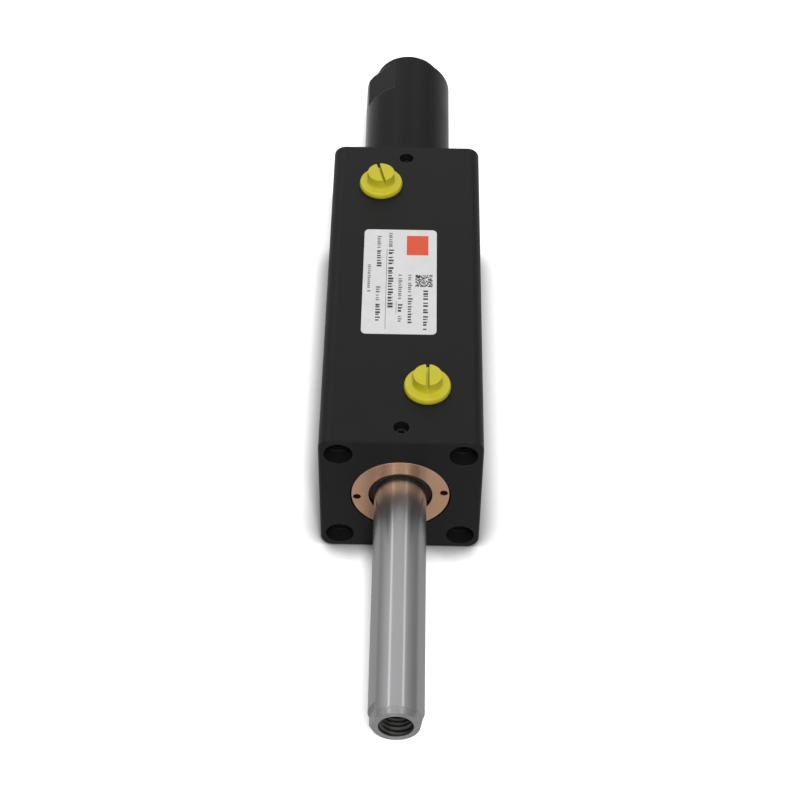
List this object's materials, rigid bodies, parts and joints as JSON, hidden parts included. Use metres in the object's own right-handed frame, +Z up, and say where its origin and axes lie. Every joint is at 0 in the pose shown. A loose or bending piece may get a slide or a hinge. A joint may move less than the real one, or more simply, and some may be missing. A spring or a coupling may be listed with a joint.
{
  "type": "hydraulic cylinder",
  "caption": "Compact square-block hydraulic cylinder with a bronze rod gland, a threaded chrome rod, plugged oil ports on top and a round stroke-adjuster cover at the rear.",
  "frame": {"origin": "centre of the rod bore on the block's front face", "axes": "+Y back along the cylinder's axis, the rod pointing along -Y; +Z up, towards the ports; +X to the right seen from the rod end"},
  "size_m": [0.062, 0.3573, 0.0692],
  "materials": {
    "block_black": "black oxide, satin",
    "bronze": "turned bronze",
    "chrome_rod": "hard chrome, ground",
    "steel_turned": "turned steel",
    "cover_black": "black oxide, turned",
    "cap_black": "black oxide, turned",
    "screw_dark": "phosphated steel",
    "nut_zinc": "zinc plated",
    "black_rubber": "moulded nitrile rubber",
    "wiper_rubber": "moulded rubber",
    "seal_blue": "moulded polyurethane",
    "white_ptfe": "turned plastic",
    "bronze_ptfe": "filled plastic",
    "phenolic": "fabric-filled resin",
    "yellow_plastic": "moulded polyethylene",
    "label_film": "printed film, satin"
  },
  "bodies": {
    "cylinder": {"cylinder_block": "block_black", "rod_gland": "bronze", "gland_o_ring": "black_rubber", "gland_backup_ring": "white_ptfe", "rod_seal": "seal_blue", "rod_wiper": "wiper_rubber", "rear_cap": "cap_black", "rear_cap_o_ring": "black_rubber", "rear_cap_backup_ring": "white_ptfe", "adjuster_thread_seal": "white_ptfe", "adjuster_lock_nut": "nut_zinc", "gland_lock_screw": "screw_dark", "cap_lock_screw": "screw_dark", "name_label": "label_film"},
    "piston_seals": {"piston_seal": "bronze_ptfe", "piston_seal_energizer": "black_rubber", "piston_wear_ring": "phenolic"},
    "rod": {"piston_rod": "chrome_rod", "piston": "steel_turned", "piston_nut": "screw_dark", "piston_static_o_ring": "black_rubber"},
    "adjuster_pad": {"adjuster_thrust_pad": "bronze"},
    "adjuster": {"adjuster_screw": "screw_dark"},
    "cover": {"adjuster_cover": "cover_black"},
    "front_plug": {"port_plug_front": "yellow_plastic"},
    "rear_plug": {"port_plug_rear": "yellow_plastic"}
  },
  "joints": [
    {"name": "rod_slide", "type": "slide", "parent": "cylinder", "child": "piston_seals", "axis": [0, -1, 0], "range_m": [-0.094, 0.006]},
    {"name": "rod_turn", "type": "hinge", "parent": "piston_seals", "child": "rod", "pos_m": [0, 0, 0], "axis": [0, -1, 0], "continuous": true},
    {"name": "adjuster_travel", "type": "slide", "parent": "cylinder", "child": "adjuster_pad", "axis": [0, -1, 0], "range_m": [0, 0.005]},
    {"name": "adjuster_turn", "type": "hinge", "parent": "adjuster_pad", "child": "adjuster", "pos_m": [0, 0.2, 0], "axis": [0, -1, 0], "range_deg": [0, 1200]},
    {"name": "cover_pull", "type": "slide", "parent": "cylinder", "child": "cover", "axis": [0, 1, 0], "range_m": [0, 0.09]},
    {"name": "front_plug_pull", "type": "slide", "parent": "cylinder", "child": "front_plug", "axis": [0, 0, 1], "range_m": [0, 0.03]},
    {"name": "rear_plug_pull", "type": "slide", "parent": "cylinder", "child": "rear_plug", "axis": [0, 0, 1], "range_m": [0, 0.03]}
  ],
  "couplings": [
    {"joint": "adjuster_turn", "follows": "adjuster_travel", "rad_per_m": 4188.8}
  ]
}
